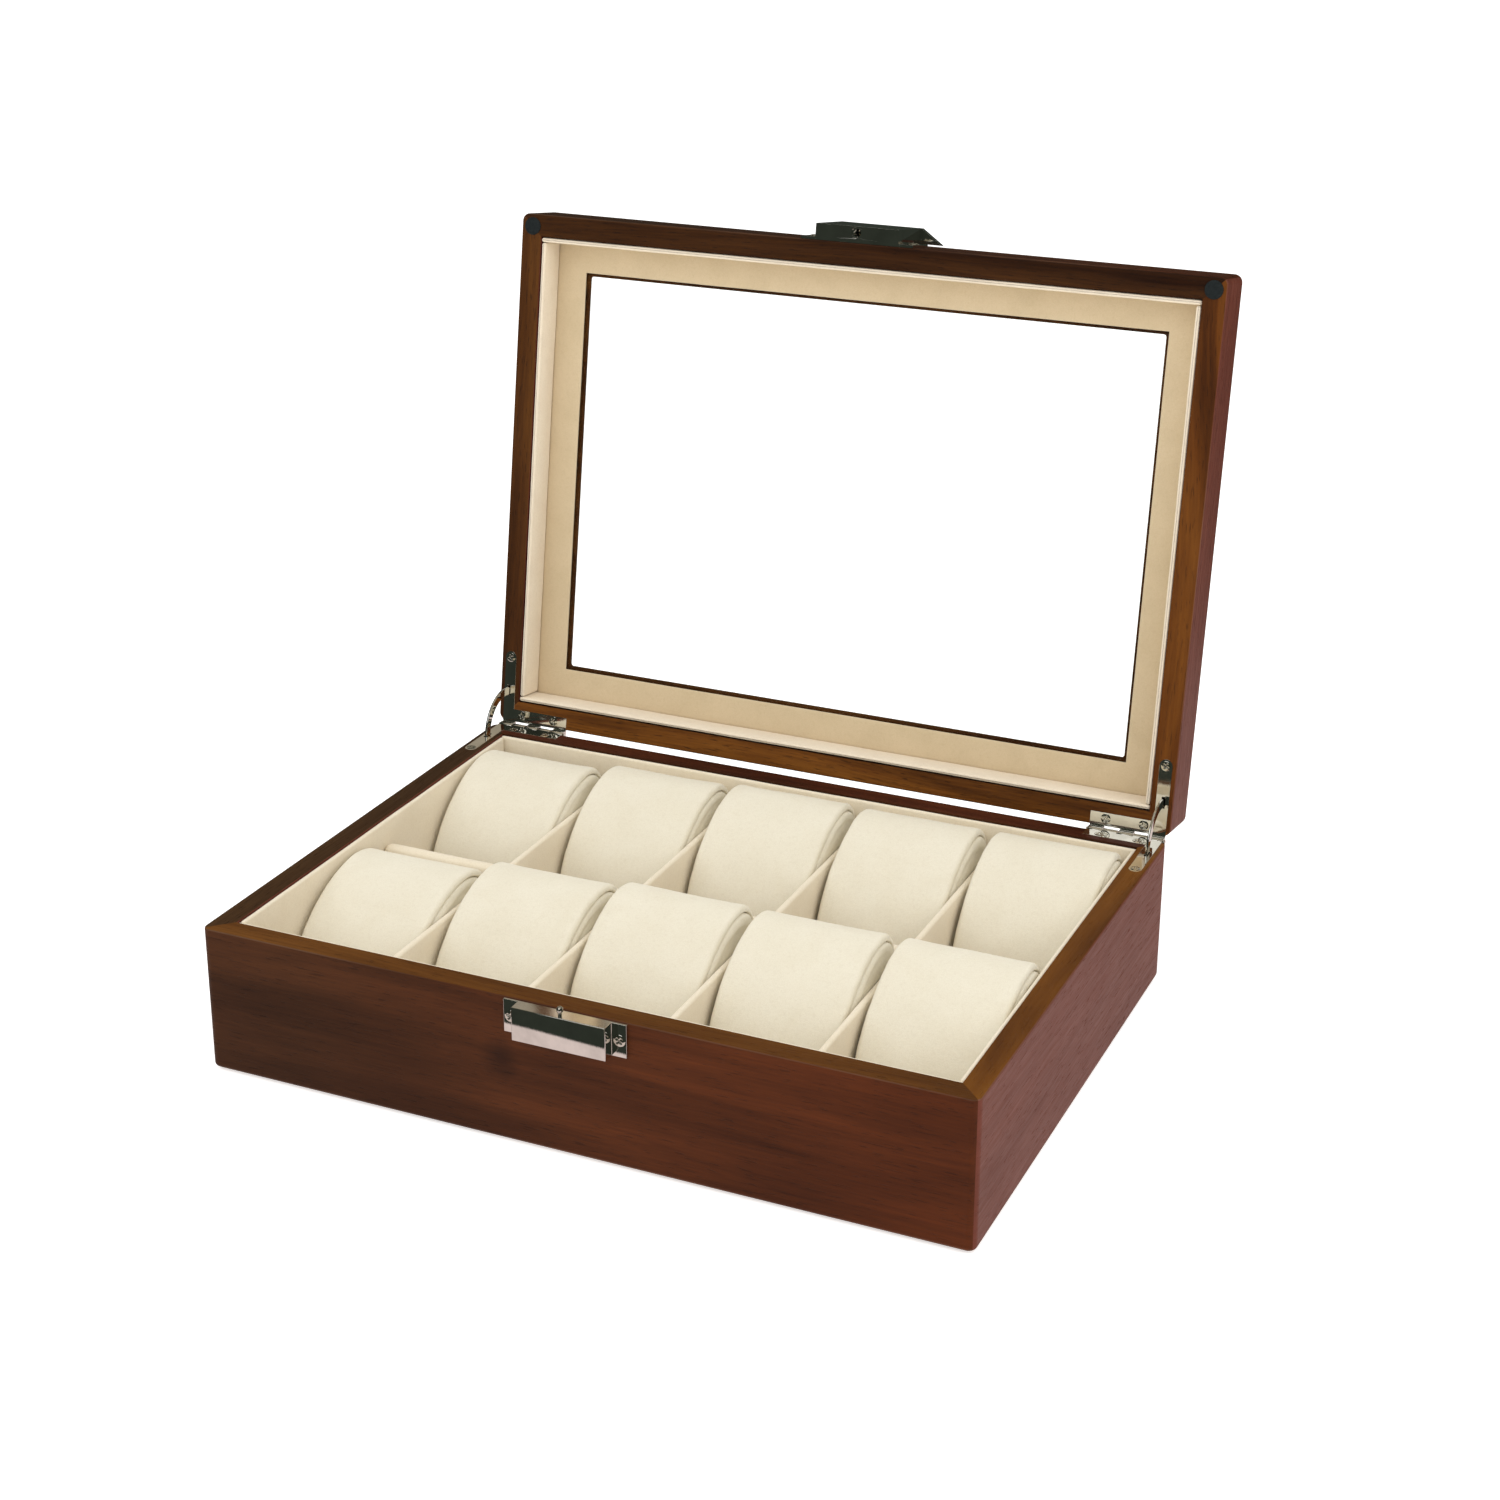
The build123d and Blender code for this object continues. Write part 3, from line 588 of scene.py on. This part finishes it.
def make_tray_linings(material):
    for seed, side in enumerate(("front", "back", "left", "right", "floor")):
        node = f"base_lining_{side}"
        low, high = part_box(node)
        radius = TRAY_LINING_EDGE if side != "floor" else FLOOR_LINING_EDGE
        covered_board(f"tray_lining_{side}", low, high, radius, material, "base", node, seed)

    low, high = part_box("row_divider")
    bolster = covered_board("divider_between_rows", low, high, BOLSTER_EDGE, material,
                            "base", "row_divider", 11)

    pitch = pillow_pitch()
    for row in ("front", "rear"):
        node = f"cross_dividers_{row}"
        low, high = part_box(node)
        thick = (high.x - low.x) - (COLUMNS - 2) * pitch
        for gap in range(COLUMNS - 1):
            left = low.x + gap * pitch
            board_low = (left, low.y, low.z)
            board_high = (left + thick, high.y, high.z)
            board = covered_board(f"divider_{row}_{gap + 1}", board_low, board_high, DIVIDER_EDGE,
                                  material, "base", None, 20 + gap)
            if gap == 0:
                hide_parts(node)


def pillow_pitch():
    first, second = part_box("pillow_front_1_wrap")[0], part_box("pillow_front_2_wrap")[0]
    return second.x - first.x


def make_lid_linings(material, mat_material):
    for seed, side in enumerate(("front", "back", "left", "right")):
        node = f"lid_lining_{side}"
        low, high = shut_box(node)
        axis = 1 if side in ("front", "back") else 0
        if side in ("front", "left"):
            low[axis] += LINING_SHADOW
        else:
            high[axis] -= LINING_SHADOW
        covered_board(f"lid_side_lining_{side}", low, high, LID_LINING_EDGE, material, "lid",
                      node, 30 + seed)
    make_mat(mat_material)


def make_mat(material):
    """The flat velvet frame round the window, its inner edge rolled over."""
    low, high = shut_box("lid_lining_mat")
    loops = mat_loops(low, high, (high - low)[:2] / 2 - window_margin(low, high))
    faces = quads(*loops.shape[:2], closed=True)
    points = hollowed(loops.reshape(-1, 3), faces, depth=0.0002, size=0.025, seed=41)
    mat = new_piece("lid_window_mat", swung(points), faces, material, "lid")
    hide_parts("lid_lining_mat")


def mat_loops(low, high, inner):
    """Loops over the mat's upper side, round its inner edge and back along its lower side."""
    outer = (high - low)[:2] / 2
    z_low, z_high = low[2], high[2]
    thick = z_high - z_low
    roll = thick * MAT_ROLL
    flat = outer - inner - roll
    loops = [rectangle_loop(inner + roll + flat * share, z_high) for share in (1.0, 0.5, 0.04)]
    for step in range(5):
        angle = pi / 2 + step * pi / 4
        z = (z_low + z_high) / 2 + thick / 2 * sin(angle)
        loops.append(rectangle_loop(inner + roll + roll * cos(angle), z))
    for share in (0.05, 0.3, 0.55, 0.8, 1.0):
        loops.append(rectangle_loop(inner + roll + flat * share, z_low))
    return np.array(loops)


def rectangle_loop(half, z, per_side=24):
    """Points round a rectangle about the box's middle."""
    corners = [(-1, -1), (1, -1), (1, 1), (-1, 1)]
    loop = []
    for k, (x, y) in enumerate(corners):
        next_x, next_y = corners[(k + 1) % 4]
        for i in range(per_side):
            t = i / per_side
            loop.append((half[0] * (x + (next_x - x) * t), half[1] * (y + (next_y - y) * t), z))
    return loop


def window_margin(low, high):
    """Width of the mat on each axis, read from the points of its window's edge."""
    points = np.array([UNSWING @ v.co for v in NODES["lid_lining_mat"].data.vertices])
    middle = (low + high) / 2
    away = np.abs(points - middle)[:, :2]
    return (high - low)[:2] / 2 - away.min(0)


# ==================================================================== screws

def screw_tops(node, ways):
    """Middle, radius and direction of each screw's head in a set."""
    points = np.array([v.co for v in NODES[node].data.vertices])
    tops = []
    while len(points):
        near = np.linalg.norm(points - points[0], axis=1) < SCREW_REACH
        one, points = points[near], points[~near]
        way = max(ways, key=lambda w: np.ptp(one @ np.array(w)))
        along = one @ np.array(way)
        head = one[along > along.max() - 1e-5]
        middle = (head.min(0) + head.max(0)) / 2
        radius = float(np.linalg.norm(head - middle, axis=1).max())
        tops.append((Vector(middle), radius, way))
    return tops


def domed_head(middle, radius, way, height, turn):
    """A low dome with a rolled edge and a cross cut into it."""
    across = way.orthogonal().normalized()
    over = way.cross(across)
    shares = (0.10, 0.20, 0.30, 0.40, 0.50, 0.58, 0.64, 0.72, 0.82, 0.90, 0.95, 0.98, 1.0)
    around = 56
    rings = []
    for share in shares:
        ring = []
        for i in range(around):
            angle = 2 * pi * i / around
            u, v = share * cos(angle), share * sin(angle)
            level = (1 - share**6) * (1 - 0.35 * share**2)
            a, b = u * cos(turn) + v * sin(turn), v * cos(turn) - u * sin(turn)
            if share < CROSS_REACH and min(abs(a), abs(b)) < CROSS_HALF:
                level = CROSS_LEVEL
            ring.append(middle + radius * (u * across + v * over) + height * level * way)
        rings.append(ring)
    points = [p for ring in rings for p in ring]
    points.append(middle + CROSS_LEVEL * height * way)
    pole = len(points) - 1
    faces = [(pole, i, (i + 1) % around) for i in range(around)]
    return points, faces + quads(len(rings), around)


def make_screw_heads(material):
    """Raised cross heads on the leaf and latch screws."""
    turned = SWING.to_3x3()
    sets = {
        "base": [Vector((0, 0, 1)), Vector((0, -1, 0))],
        "lid": [turned @ Vector((0, 0, -1)), turned @ Vector((0, -1, 0))],
    }
    for body, ways in sets.items():
        points, faces = [], []
        for index, (middle, radius, way) in enumerate(screw_tops(f"{body}_screws", ways)):
            height = LEAF_SCREW_DOME if way is ways[0] else LATCH_SCREW_DOME
            some, some_faces = domed_head(middle, radius * HEAD_OVERLAP, way, height, index * 0.7)
            faces += [tuple(k + len(points) for k in face) for face in some_faces]
            points += some
        new_piece(f"screw_heads_{body}", points, faces, material, body)


# =================================================================== pillows

def inflate(points, faces, held, pressure, cap, excess):
    """Puff up a closed skin by cloth simulation. held is 1 where a point can't move."""
    mesh = bpy.data.meshes.new("inflating")
    mesh.from_pydata([tuple(p * SIM_SCALE) for p in points], [], faces)
    piece = bpy.data.objects.new("inflating", mesh)
    bpy.context.scene.collection.objects.link(piece)
    group = piece.vertex_groups.new(name="held")
    for index, weight in enumerate(held):
        group.add([index], float(weight), "REPLACE")
    cloth = piece.modifiers.new("Cloth", "CLOTH")
    cloth.settings.quality = 4
    cloth.settings.vertex_group_mass = "held"
    cloth.settings.use_pressure = True
    cloth.settings.uniform_pressure_force = pressure
    cloth.settings.shrink_min = -excess
    cloth.settings.tension_stiffness = 12
    cloth.settings.compression_stiffness = 12
    cloth.settings.bending_stiffness = 0.4
    cloth.settings.effector_weights.gravity = 0
    cloth.collision_settings.use_collision = False
    cloth.collision_settings.use_self_collision = False
    for step in range(1, SIM_STEPS + 1):
        bpy.context.scene.frame_set(step)
    settled = piece.evaluated_get(bpy.context.evaluated_depsgraph_get()).data
    moved = np.array([v.co for v in settled.vertices]) / SIM_SCALE - points
    length = np.linalg.norm(moved, axis=1)
    moved *= (np.tanh(length / cap) * cap / np.maximum(length, 1e-9))[:, None]
    bpy.data.objects.remove(piece)
    bpy.data.meshes.remove(mesh)
    return points + moved * (1 - np.array(held))[:, None]


def lean(half_height):
    """How far an oval of this height has turned."""
    return asin(((half_height**2 - PILLOW_B**2) / (PILLOW_A**2 - PILLOW_B**2))**0.5)


def slit_angle(tilt):
    """Where on the oval the slit under its middle is."""
    return atan2(-cos(tilt) / PILLOW_B, -sin(tilt) / PILLOW_A)


def oval(angle, inset):
    return (PILLOW_A - inset) * cos(angle), (PILLOW_B - inset) * sin(angle)


def band_skin(half_width, tilt):
    """The stiff padded band: one cross-section carried round the oval from slit to slit."""
    section = [(x, 0.0) for x in np.linspace(-1, 1, 13) * (half_width - BAND_RIM)]
    rim = []
    for step in range(1, 6):
        angle = pi / 2 * step / 5
        rim.append((half_width - BAND_RIM + BAND_RIM * sin(angle), BAND * 0.80 * (1 - cos(angle))))
    rim.append((half_width - 0.0004, BAND * 0.97))
    rim.append((half_width - 0.0014, BAND * 1.04))
    inner = [(x, BAND) for x in np.linspace(1, -1, 7) * (half_width - BAND_RIM)]
    section += rim + inner + [(-x, depth) for x, depth in reversed(rim)]
    start = slit_angle(tilt)
    share = SLIT_HALF / PILLOW_B * 0.9
    angles = np.linspace(start + share, start + 2 * pi - share, 80)
    rings = []
    for row, angle in enumerate(angles):
        end = min(row, len(angles) - 1 - row)
        flat = {0: 0.35, 1: 0.85}.get(end, 1.0)
        ring = []
        for x, depth in section:
            depth = BAND / 2 + (depth - BAND / 2) * flat
            u, v = oval(angle, depth)
            ring.append((x, u, v))
        rings.append(ring)
    points, faces = tube(np.array(rings))
    inner_side = [1.0 if depth >= BAND * 0.95 else 0.0 for _, depth in section]
    held = inner_side * len(angles) + [1.0, 1.0]
    return points, faces, np.array(held)


def core_skin(half_width):
    """The padded core: an oval tube under the band, with a cap of rings at each end."""
    flat_end = half_width - CAP_RECESS
    rows = [(-flat_end, share) for share in CAP_SHARES]
    rows += [(x, 1.0) for x in np.linspace(-1, 1, 8)[1:-1] * flat_end]
    rows += [(flat_end, share) for share in reversed(CAP_SHARES)]
    angles = np.linspace(0, 2 * pi, 72, endpoint=False)
    rings = []
    for x, share in rows:
        edge = np.array([oval(angle, BAND + CORE_GAP) for angle in angles]) * share
        rings.append(np.column_stack([np.full(len(angles), x), edge]))
    points, faces = tube(np.array(rings))
    held = []
    for _, share in rows:
        held += [1.0 if share == 1.0 else 0.0] * len(angles)
    held += [0.0, 0.0]
    return points, faces, np.array(held)


def pleated(points, depth, seed):
    """End caps that stand up from their seams, with a shallow pinched fold inside the seam."""
    out = points.copy()
    for index, (x, u, v) in enumerate(points):
        share = ((u / (PILLOW_A - BAND)) ** 2 + (v / (PILLOW_B - BAND)) ** 2) ** 0.5
        where = FOLD_AT + 0.05 * noise.noise(Vector((u, v, 0)) / 0.02 + Vector((seed, 0, 0)))
        fold = np.exp(-((share - where) / FOLD_WIDTH) ** 2)
        strength = 0.5 + 0.5 * noise.noise(Vector((u, v, seed * 5.0)) / 0.03)
        plump = CAP_PAD * (1 - min(share, 1.0) ** 10)
        out[index, 0] += np.sign(x) * (plump - depth * fold * strength)
    return out


def settle(points, centre, tilt):
    """Points in the pillow's own axes, put at its place in the box."""
    turn = np.array([[1, 0, 0], [0, cos(tilt), -sin(tilt)], [0, sin(tilt), cos(tilt)]])
    return points @ turn.T + np.array(centre)


def make_pillow(row, column, material):
    name = f"pillow_{row}_{column}"
    low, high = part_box(f"{name}_wrap")
    centre = (low + high) / 2
    half_width = (high.x - low.x) / 2
    tilt = lean((high.z - low.z) / 2)
    seed = column + (10 if row == "rear" else 0)

    points, faces, held = band_skin(half_width, tilt)
    points = inflate(points, faces, held, pressure=3.0, cap=BAND_PUFF, excess=0.004)
    points = hollowed(points, faces, depth=0.0005, size=0.020, seed=seed)
    band = new_piece(f"{name}_cover", settle(points, centre, tilt), faces, material, name)
    subdivide(band)
    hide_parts(f"{name}_wrap")

    points, faces, held = core_skin(half_width)
    excess = 0.035 + 0.02 * noise.noise(Vector((seed * 1.3, 0.5, 0)))
    points = inflate(points, faces, held, pressure=5.0, cap=CORE_PUFF, excess=excess)
    depth = FOLD_DEPTH + FOLD_VARIES * noise.noise(Vector((0.3, seed * 1.9, 0)))
    points = pleated(points, depth, seed)
    core = new_piece(f"{name}_cushion", settle(points, centre, tilt), faces, material, name)
    subdivide(core)
    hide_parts(f"{name}_core")


# ============================================================= room and camera

def make_floor():
    half = FLOOR_HALF
    corners = [(-half, -half, 0), (half, -half, 0), (half, half, 0), (-half, half, 0)]
    mesh = bpy.data.meshes.new("floor")
    mesh.from_pydata(corners, [], [(0, 1, 2, 3)])
    mesh.materials.append(pale_floor())
    floor = bpy.data.objects.new("floor", mesh)
    bpy.context.scene.collection.objects.link(floor)
    floor.location.z = CAD_BOX[0].z - FLOOR_GAP
    floor.visible_glossy = False


def area_light(name, aim, place, size, power, colour, mirrored):
    data = bpy.data.lights.new(name, "AREA")
    data.shape = "RECTANGLE"
    data.size, data.size_y = size
    data.energy = power
    data.color = colour
    lamp = bpy.data.objects.new(name, data)
    lamp.location = place
    lamp.visible_glossy = mirrored
    lamp.rotation_euler = (Vector(aim) - Vector(place)).to_track_quat("-Z", "Y").to_euler()
    bpy.context.scene.collection.objects.link(lamp)


def make_room():
    """A white room for the eye and for soft light; polished metal sees a dark studio in it."""
    world = bpy.data.worlds.new("studio")
    bpy.context.scene.world = world
    world.use_nodes = True
    sky = Graph(world.node_tree)
    side, depth, height = sky.split(sky.node("ShaderNodeTexCoord").outputs["Generated"])
    slope = sky.math("SUBTRACT", sky.math("MULTIPLY", depth, 0.647),
                     sky.math("MULTIPLY", side, 0.038))
    table_edge = sky.math("SUBTRACT", height, sky.math("MINIMUM", slope, -0.35))
    table = sky.remap(table_edge, -0.0003, 0.0003, 1.0, 0.0)
    panel = sky.math("MULTIPLY", sky.band(side, -0.36, -0.30, -0.05, 0.02),
                     sky.band(height, -0.36, -0.30, -0.12, -0.10))
    panel = sky.math("MULTIPLY", panel, sky.remap(depth, -0.3, -0.2, 1.0, 0.0))
    behind = sky.math("MULTIPLY", sky.remap(depth, 0.2, 0.5),
                      sky.band(height, 0.30, 0.38, 0.47, 0.52))
    ceiling = sky.remap(height, 0.74, 0.86)
    seen = sky.mix(table, (0.031, 0.037, 0.029), (0.78, 0.66, 0.64))
    seen = sky.mix(panel, seen, (0.46, 0.42, 0.32))
    seen = sky.mix(behind, seen, (0.40, 0.35, 0.27))
    seen = sky.mix(ceiling, seen, (0.40, 0.37, 0.30))
    soft = sky.mix(sky.remap(height, -0.6, 0.9), (0.72, 0.70, 0.67), (0.84, 0.84, 0.83))
    rays = sky.node("ShaderNodeLightPath").outputs
    colour = sky.mix(rays["Is Glossy Ray"], soft, seen)
    colour = sky.mix(rays["Is Camera Ray"], colour, (1.1, 1.1, 1.1))
    sky.tree.links.new(colour, world.node_tree.nodes["Background"].inputs["Color"])


def make_light():
    """Soft boxes overhead, in front above the camera, and on the right and left."""
    make_room()
    middle = (CAD_BOX[0] + CAD_BOX[1]) / 2
    for name, settings in LIGHTS.items():
        area_light(name, middle, *settings)


def make_camera():
    """Seen from the front, a little from the right and above."""
    data = bpy.data.cameras.new("camera")
    data.sensor_width = SENSOR
    data.lens = LENS
    data.shift_x, data.shift_y = SHIFT
    flat = cos(ELEVATION)
    back = Vector((sin(AZIMUTH) * flat, -cos(AZIMUTH) * flat, sin(ELEVATION)))
    right = Vector((0, 0, 1)).cross(back).normalized()
    up = back.cross(right)
    across = cos(ROLL) * right + sin(ROLL) * up
    upward = cos(ROLL) * up - sin(ROLL) * right
    camera = bpy.data.objects.new("camera", data)
    camera.matrix_world = Matrix((across, upward, back)).transposed().to_4x4()
    camera.location = CAMERA_PLACE
    bpy.context.scene.collection.objects.link(camera)
    bpy.context.scene.camera = camera


bpy.context.scene.view_settings.view_transform = "Standard"
make_camera()
make_light()
make_floor()
finish_cad()
lining = velvet("velvet_lining", 1)
make_tray_linings(velvet("velvet_tray", 2))
make_lid_linings(lining, velvet("velvet_mat", 4))
cream = velvet("velvet_cream", 3)
for row in ("front", "rear"):
    for column in range(1, COLUMNS + 1):
        make_pillow(row, column, cream)
